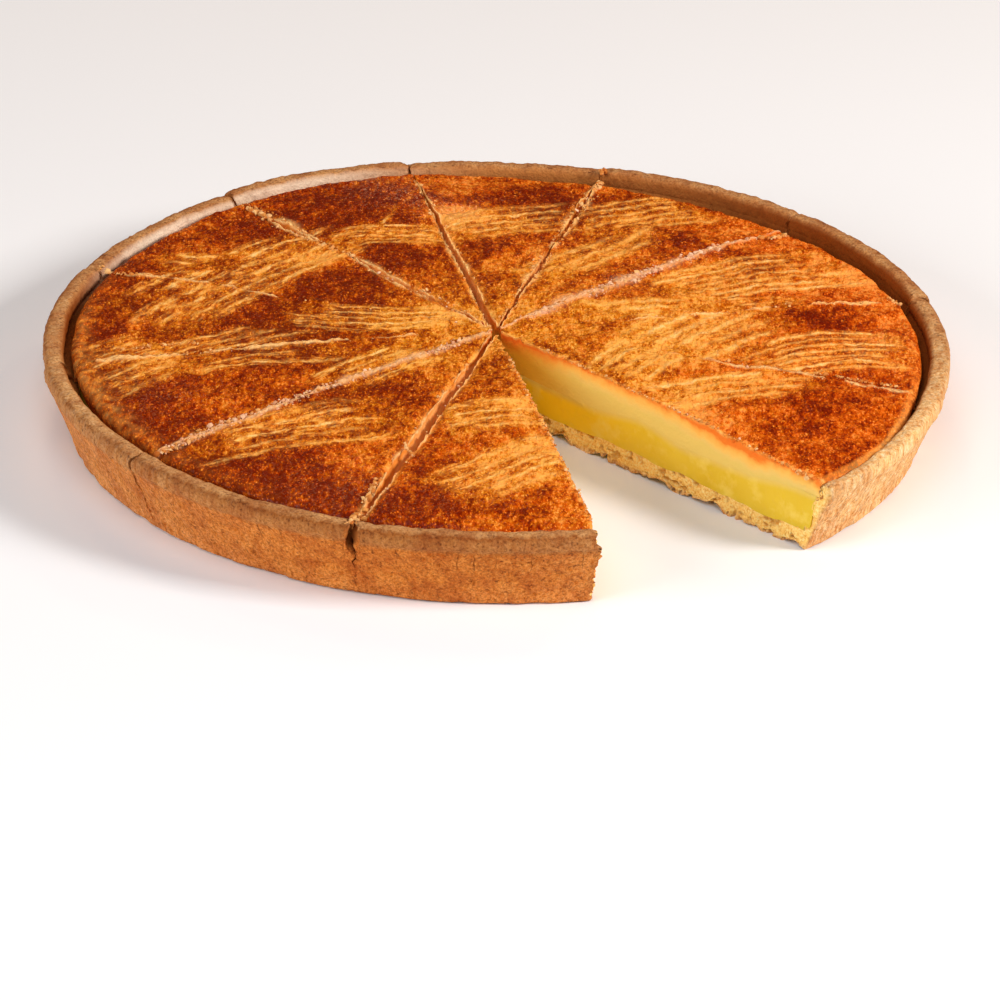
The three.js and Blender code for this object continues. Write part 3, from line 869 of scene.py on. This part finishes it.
    # Ridges of crumbs
    dust = add(m, "ValToRGB", {"Fac": fine}, stops=[(0.3, "#d0884e"), (0.5, "#e8aa76"), (0.7, "#f8d0a2")])
    heap = add(m, "Mix", {0: mark["dust"], 6: dough, 7: dust}, data_type="RGBA", out=2)
    face = add(m, "Mix", {0: mark["crumb"], 6: face, 7: heap}, data_type="RGBA", out=2)

    # Cut faces, by millimetres under the skin, painted darker towards the middle of the cake as shade
    soak = add(m, "Math", {0: mid, 1: 3.0, 2: mark["depth"]}, operation="MULTIPLY_ADD")
    soak = add(m, "Math", {0: mark["rind"], 1: -1.9, 2: soak}, operation="MULTIPLY_ADD")
    soak = add(m, "Math", {0: mark["centre_shade"], 1: -0.8, 2: soak}, operation="MULTIPLY_ADD")
    deep = add(m, "MapRange", {0: soak, 1: 1.9, 2: 9.8})
    shaded = add(m, "ValToRGB", {"Fac": deep}, stops=[(0.0, "#d4661c"), (0.3, "#d8942c"), (0.6, "#dca832")])
    butter = add(m, "ValToRGB", {"Fac": deep}, stops=[
        (0.0, "#ee7c2c"), (0.08, "#f39c42"), (0.2, "#f4b152"),
        (0.34, "#efbd60"), (0.5, "#e6c06a"), (0.65, "#e0c066")])
    butter = add(m, "Mix", {0: mark["centre_shade"], 6: butter, 7: shaded}, data_type="RGBA", out=2)
    kerf = add(m, "ValToRGB", {"Fac": deep}, stops=[(0.0, "#e08a38"), (0.15, "#eca45c"), (0.6, "#dc8e44")])
    cut = add(m, "Mix", {0: mark["kerf"], 6: butter, 7: kerf}, data_type="RGBA", out=2)
    under = add(m, "MapRange", {0: mark["depth"], 1: 0.1, 2: 0.9})
    face = add(m, "Mix", {0: under, 6: face, 7: cut}, data_type="RGBA", out=2)

    # Relief, and the glaze over it: a clear coat with its own fine tilt, so that only specks catch a lamp
    bare = add(m, "Math", {0: scratch, 1: mark["crumb"]}, operation="MAXIMUM")
    bare = add(m, "Math", {0: bare, 1: under}, operation="MAXIMUM")
    matte = add(m, "MapRange", {0: bare, 3: 0.4, 4: 0.85})
    relief = add(m, "Math", {0: pebble, 1: 0.4, 2: mid}, operation="MULTIPLY_ADD")
    firm = add(m, "MapRange", {0: under, 3: 1.0, 4: 0.3})
    bump = add(m, "Bump", {"Height": relief, "Strength": firm, "Distance": 0.001})
    cell = add(m, "TexNoise", {"Vector": where, "Scale": per_mm(0.7), "Detail": 1.0}, out="Color")
    tilt = add(m, "VectorMath", {0: cell, 1: (0.5, 0.5, 0.5)}, operation="SUBTRACT")
    tilt = add(m, "VectorMath", {0: tilt, "Scale": 1.3}, operation="SCALE")
    upward = add(m, "NewGeometry", out="Normal")
    facet = add(m, "VectorMath", {0: upward, 1: tilt}, operation="ADD")
    facet = add(m, "VectorMath", {0: facet}, operation="NORMALIZE")
    wash = add(m, "Math", {0: mark["glossy"], 1: 0.5, 2: 0.1}, operation="MULTIPLY_ADD")
    glaze = add(m, "MapRange", {0: bare, 3: 1.0, 4: 0.0})
    glaze = add(m, "Math", {0: glaze, 1: wash}, operation="MULTIPLY")
    links = {"Base Color": face, "Roughness": matte, "Normal": bump,
             "Coat Weight": glaze, "Coat Normal": facet}
    return end_finish(m, links, IOR=1.4, Specular_IOR_Level=0.03, Coat_Roughness=0.1, Coat_IOR=1.5)


lid_finish = baked_lid()
for piece in lids:
    piece.data.materials.append(lid_finish)
print(lid_finish.name, len(lid_finish.node_tree.nodes), "nodes")

# %% [markdown]
# ### Sweet shortcrust, baked against a tin
# The wall is dry and matte. The tin drew fine upright creases into it and browned it evenly, and the lip
# above it stayed paler with a browner edge. Light and shade are painted in as well: the rim's inside is
# painted pale where the key light falls on it and painted dark where it lies in shade, the outer wall is
# painted paler where the key light falls and faintly on the left, thin dark upright lines are painted shade
# of fine cracks, and the holes of the crumb and the insides of closed cuts are painted darker as shade. Its
# cut inside is an open, buttery crumb with a browned skin.

# %% Finish of the shell
def baked_shell():
    m = new_finish("tin-baked shortcrust")
    where = add(m, "TexCoord", out="Object")
    upright = add(m, "Mapping", {"Vector": where, "Scale": (1.0, 1.0, 0.18)})
    streak = add(m, "TexNoise", {"Vector": upright, "Scale": per_mm(1.4), "Detail": 4.0, "Roughness": 0.7})
    mottle = add(m, "TexNoise", {"Vector": where, "Scale": per_mm(8.0), "Detail": 4.0, "Roughness": 0.6})
    sand = add(m, "TexNoise", {"Vector": where, "Scale": per_mm(0.7), "Detail": 2.0, "Roughness": 0.6})
    pits = add(m, "TexNoise", {"Vector": where, "Scale": per_mm(1.7), "Detail": 2.0, "Roughness": 0.7})
    mark = {name: add(m, "Attribute", attribute_name=name, out="Fac")
            for name in ("path", "depth", "cavity", "kerf", "painted_wall_light", "rim_inside_shade", "rim_inside_light", "arc")}

    # Browning by the path from the foot over the rim to the inside
    uneven = add(m, "TexNoise", {"Vector": where, "Scale": per_mm(3.0), "Detail": 3.0, "Roughness": 0.6})
    path = add(m, "Math", {0: uneven, 1: 0.09, 2: mark["path"]}, operation="MULTIPLY_ADD")
    path = add(m, "Math", {0: path, 1: 0.045}, operation="SUBTRACT")
    zone = add(m, "ValToRGB", {"Fac": path}, stops=[
        (0.0, "#da8e44"), (0.06, "#e89244"), (0.25, "#e48a38"), (0.545, "#e18636"), (0.575, "#d08540"),
        (0.60, "#ca8446"), (0.635, "#b6743a"), (0.668, "#9c5822"), (0.70, "#be844e"), (0.73, "#cc9660"),
        (0.76, "#c88a50"), (1.0, "#c88648")])
    inner = add(m, "MapRange", {0: mark["path"], 1: 0.745, 2: 0.80})
    outside = add(m, "MapRange", {0: inner, 3: 0.9, 4: 0.0})
    # Painted light: the outer wall is paler where the key light falls
    wall_light = add(m, "Math", {0: mark["painted_wall_light"], 1: outside}, operation="MULTIPLY")
    lit_wall_tint = add(m, "ValToRGB", {"Fac": streak}, stops=[
        (0.34, "#eca45a"), (0.5, "#f8c886"), (0.64, "#ffe2b0")])
    zone = add(m, "Mix", {0: wall_light, 6: zone, 7: lit_wall_tint}, data_type="RGBA", out=2)
    # Thin dark upright lines on the tin side of the wall: painted shade of fine cracks
    walk = add(m, "Math", {0: uneven, 1: 2.0, 2: mark["arc"]}, operation="MULTIPLY_ADD")
    split = add(m, "TexVoronoi", {"W": walk, "Scale": 1 / 8},
                voronoi_dimensions="1D", feature="DISTANCE_TO_EDGE")
    split = add(m, "MapRange", {0: split, 1: 0.035, 2: 0.01, 3: 0.0, 4: 1.0})
    some = add(m, "MapRange", {0: mottle, 1: 0.48, 2: 0.6, 3: 0.0, 4: 0.85})
    tin_side = add(m, "MapRange", {0: mark["path"], 1: 0.575, 2: 0.545})
    high = add(m, "MapRange", {0: mark["path"], 1: 0.28, 2: 0.46})
    high = add(m, "Math", {0: high, 1: tin_side}, operation="MULTIPLY")
    split = add(m, "Math", {0: split, 1: some}, operation="MULTIPLY")
    split = add(m, "Math", {0: split, 1: high}, operation="MULTIPLY")
    zone = add(m, "Mix", {0: split, 6: zone, 7: colour("#8a4212")}, data_type="RGBA", out=2)
    for pattern, share, stops in (
            (streak, 0.45, [(0.30, "#b07c50"), (0.5, "#ffffff")]),
            (uneven, 0.3, [(0.30, "#a8703f"), (0.5, "#ffffff")]),
            (mottle, 0.5, [(0.36, "#c58a5c"), (0.60, "#ffffff")]),
            (sand, 0.5, [(0.32, "#7c4620"), (0.54, "#ffffff")]),
            (pits, 0.6, [(0.60, "#ffffff"), (0.70, "#6e3412")])):
        tint = add(m, "ValToRGB", {"Fac": pattern}, stops=stops)
        zone = add(m, "Mix", {0: share, 6: zone, 7: tint}, data_type="RGBA", blend_type="MULTIPLY", out=2)
    patchy = add(m, "TexNoise", {"Vector": where, "Scale": per_mm(1.1), "Detail": 3.0, "Roughness": 0.8})
    swing = add(m, "MapRange", {0: tin_side, 3: 0.8, 4: 1.6})
    gain = add(m, "Math", {0: patchy, 1: 0.5}, operation="SUBTRACT")
    gain = add(m, "Math", {0: gain, 1: swing}, operation="MULTIPLY")
    gain = add(m, "VectorMath", {0: gain, 1: (0.7, 1.4, 2.6), 2: (1.0, 1.0, 1.0)}, operation="MULTIPLY_ADD")
    zone = add(m, "VectorMath", {0: zone, 1: gain}, operation="MULTIPLY")

    again = add(m, "Math", {0: wall_light, 1: 0.3}, operation="MULTIPLY")
    zone = add(m, "Mix", {0: again, 6: zone, 7: lit_wall_tint}, data_type="RGBA", out=2)

    # The inside of the rim: painted light on the side that faces the key light, painted shade on the others
    inside = add(m, "Mix", {0: mark["rim_inside_light"], 6: colour("#bc7a3c"), 7: colour("#ffe8cc")},
                 data_type="RGBA", out=2)
    inside = add(m, "Mix", {0: mark["rim_inside_shade"], 6: inside, 7: colour("#8a420e")}, data_type="RGBA", out=2)
    for pattern in (sand, uneven):
        tint = add(m, "ValToRGB", {"Fac": pattern}, stops=[(0.32, "#9c5c30"), (0.56, "#ffffff")])
        inside = add(m, "Mix", {0: 0.2, 6: inside, 7: tint}, data_type="RGBA", blend_type="MULTIPLY", out=2)
    zone = add(m, "Mix", {0: inner, 6: zone, 7: inside}, data_type="RGBA", out=2)

    # Open crumb at the cuts, its holes and the insides of closed cuts painted darker as shade
    crumb = add(m, "ValToRGB", {"Fac": sand}, stops=[(0.3, "#e4a246"), (0.48, "#fdcc6e"), (0.66, "#ffe49a")])
    hole = add(m, "Math", {0: mark["cavity"], 1: 0.4}, operation="MULTIPLY", use_clamp=True)
    crumb = add(m, "Mix", {0: hole, 6: crumb, 7: colour("#cc9040")}, data_type="RGBA", out=2)
    crumb = add(m, "Mix", {0: mark["kerf"], 6: crumb, 7: colour("#a45e28")}, data_type="RGBA", out=2)
    under = add(m, "MapRange", {0: mark["depth"], 1: 0.3, 2: 1.9})
    face = add(m, "Mix", {0: under, 6: zone, 7: crumb}, data_type="RGBA", out=2)
    rough = add(m, "Math", {0: sand, 1: 0.2, 2: 0.66}, operation="MULTIPLY_ADD")
    relief = add(m, "Math", {0: streak, 1: 0.5, 2: sand}, operation="MULTIPLY_ADD")
    bump = add(m, "Bump", {"Height": relief, "Strength": 0.9, "Distance": 0.0005})
    links = {"Base Color": face, "Roughness": rough, "Normal": bump}
    return end_finish(m, links, IOR=1.4, Specular_IOR_Level=0.15)


shell_finish = baked_shell()
for piece in shells:
    piece.data.materials.append(shell_finish)
print(shell_finish.name, len(shell_finish.node_tree.nodes), "nodes")

# %% [markdown]
# ### Set custard
# Egg custard is dense, moist and a little see-through: light sinks in a few millimetres and comes back
# yellow. A wet knife face has a soft gloss. Just under the lid it takes up some of the pastry's colour.
# Towards the middle of the cake it is painted lighter, as painted light.

# %% Finish of the custard
def set_custard():
    m = new_finish("set egg custard")
    where = add(m, "TexCoord", out="Object")
    cloud = add(m, "TexNoise", {"Vector": where, "Scale": per_mm(12.0), "Detail": 3.0})
    fleck = add(m, "TexNoise", {"Vector": where, "Scale": per_mm(1.3), "Detail": 2.0})
    under = add(m, "Attribute", attribute_name="under", out="Fac")
    tone = add(m, "ValToRGB", {"Fac": cloud}, stops=[(0.3, "#dab21c"), (0.7, "#e2be30")])
    # Painted light: the custard is lighter towards the middle of the cake
    inmost_light = add(m, "Attribute", attribute_name="inmost_light", out="Fac")
    tone = add(m, "Mix", {0: inmost_light, 6: tone, 7: colour("#f0c41c")}, data_type="RGBA", out=2)
    near = add(m, "MapRange", {0: under, 1: 2.6, 2: 0.0, 3: 0.0, 4: 0.95}, interpolation_type="SMOOTHSTEP")
    tone = add(m, "Mix", {0: near, 6: tone, 7: colour("#e2be5c")}, data_type="RGBA", out=2)
    swirl = add(m, "TexNoise", {"Vector": where, "Scale": per_mm(7.0), "Detail": 4.0, "Roughness": 0.6})
    swirl = add(m, "MapRange", {0: swirl, 1: 0.52, 2: 0.72, 3: 0.0, 4: 0.6})
    tone = add(m, "Mix", {0: swirl, 6: tone, 7: colour("#f0d466")}, data_type="RGBA", out=2)
    bump = add(m, "Bump", {"Height": fleck, "Strength": 0.3, "Distance": 0.0003})
    rough = add(m, "Math", {0: fleck, 1: 0.25, 2: 0.28}, operation="MULTIPLY_ADD")
    links = {"Base Color": tone, "Roughness": rough, "Normal": bump}
    return end_finish(m, links, IOR=1.38, Specular_IOR_Level=0.4,
                      Subsurface_Weight=0.3, Subsurface_Radius=(0.003, 0.0028, 0.0008), Subsurface_Scale=1.0)


custard_finish = set_custard()
for piece in custards:
    piece.data.materials.append(custard_finish)
print(custard_finish.name, len(custard_finish.node_tree.nodes), "nodes")

# %% [markdown]
# ### Loose crumbs
# Crumbs are torn dough with bits of browned skin. Each has its own tone: up to one it lies between tan and
# gold, and from one to two it is pale dust from inside.

# %% Finish of the crumbs
def loose_crumb():
    m = new_finish("torn shortcrust")
    where = add(m, "TexCoord", out="Object")
    tone = add(m, "Attribute", attribute_name="tone", out="Fac")
    grit = add(m, "TexNoise", {"Vector": where, "Scale": per_mm(0.5), "Detail": 2.0})
    half = add(m, "Math", {0: tone, 1: 0.42}, operation="MULTIPLY")
    half = add(m, "Math", {0: grit, 1: 0.15, 2: half}, operation="MULTIPLY_ADD")
    tint = add(m, "ValToRGB", {"Fac": half}, stops=[
        (0.05, "#b8601c"), (0.25, "#d98d40"), (0.48, "#eebc7c"),
        (0.52, "#c8885c"), (0.72, "#e2a880"), (0.95, "#f2caa6")])
    bump = add(m, "Bump", {"Height": grit, "Strength": 0.5, "Distance": 0.0002})
    return end_finish(m, {"Base Color": tint, "Normal": bump}, Roughness=0.7, IOR=1.4,
                      Specular_IOR_Level=0.3)


crumbs.data.materials.append(loose_crumb())
print(crumbs.data.materials[0].name)

# %% [markdown]
# ## Studio
# The cake stands on a plain pale floor. A key light stands to the right and a little in front, a broad soft
# one to the front left fills the walls and the open place, three small ones behind give the glaze its
# sparkle, and a dim, even surround does the rest.

# %% Floor and lights
def floor_piece():
    bm = bmesh.new()
    bmesh.ops.create_grid(bm, x_segments=1, y_segments=1, size=4)
    floor = bpy.data.objects.new("floor", mesh_of(bm, "floor"))
    bpy.context.scene.collection.objects.link(floor)
    m = new_finish("pale studio paper")
    where = add(m, "TexCoord", out="Object")
    tooth = add(m, "TexNoise", {"Vector": where, "Scale": per_mm(1.0)})
    bump = add(m, "Bump", {"Height": tooth, "Strength": 0.05, "Distance": 0.0002})
    floor.data.materials.append(end_finish(m, {"Normal": bump}, Base_Color=colour("#f2f4f8"), Roughness=0.9))
    return floor


def area_light(name, place, size, power, tint):
    lamp = bpy.data.lights.new(name, "AREA")
    lamp.shape = "RECTANGLE"
    lamp.size, lamp.size_y = size
    lamp.energy = power
    lamp.color = colour(tint)[:3]
    holder = bpy.data.objects.new(name, lamp)
    holder.location = place
    holder.rotation_euler = (-holder.location).to_track_quat("-Z", "Y").to_euler()
    bpy.context.scene.collection.objects.link(holder)
    return holder


floor_piece()
area_light("key", (1.35, -0.45, 0.85), (0.45, 0.45), 27, "#fffaf4")
area_light("fill", (-1.55, -1.0, 0.75), (1.3, 0.9), 22, "#ffffff")
area_light("top", (-0.2, -0.8, 1.4), (1.0, 1.0), 9, "#ffffff")
area_light("sparkle", (-0.3, 1.3, 1.5), (0.3, 0.3), 3.5, "#ffc898")
area_light("glint", (-0.15, 1.7, 1.2), (0.25, 0.25), 2.0, "#ffc898")
area_light("edge", (1.0, 1.2, 1.1), (0.12, 0.12), 2.5, "#ffe0b8")
world = bpy.data.worlds.new("dim surround")
bpy.context.scene.world = world
world.use_nodes = True
world.node_tree.nodes["Background"].inputs["Color"].default_value = (1, 1, 1, 1)
world.node_tree.nodes["Background"].inputs["Strength"].default_value = 0.06
bpy.context.scene.view_settings.view_transform = "Standard"
print(len(bpy.data.lights), "lights")

# %% [markdown]
# ## Camera
# The view looks down at about 25 degrees from far away with a long lens, and leans by a degree.

# %% Camera
lens = bpy.data.cameras.new("camera")
lens.sensor_width = 36
lens.lens = 216
lens.clip_end = 20
camera = bpy.data.objects.new("camera", lens)
right = (0.9998555, 0.00646626, 0.01572182)
up = (-0.0169644, 0.43905319, 0.8983009)
back = (-0.00109407, -0.8984378, 0.43909944)
place = (0.0, -1.622479, 0.763848)
camera.matrix_world = Matrix([(right[i], up[i], back[i], place[i]) for i in range(3)] + [(0, 0, 0, 1)])
bpy.context.scene.collection.objects.link(camera)
bpy.context.scene.camera = camera
print("camera", round(math.degrees(math.asin(back[2])), 1), "degrees up")

# %% [markdown]
# ## Size
# The dressed cake has to keep the size of the solids. The last step brings the scene up to date.

# %% Finish
bpy.context.view_layer.update()
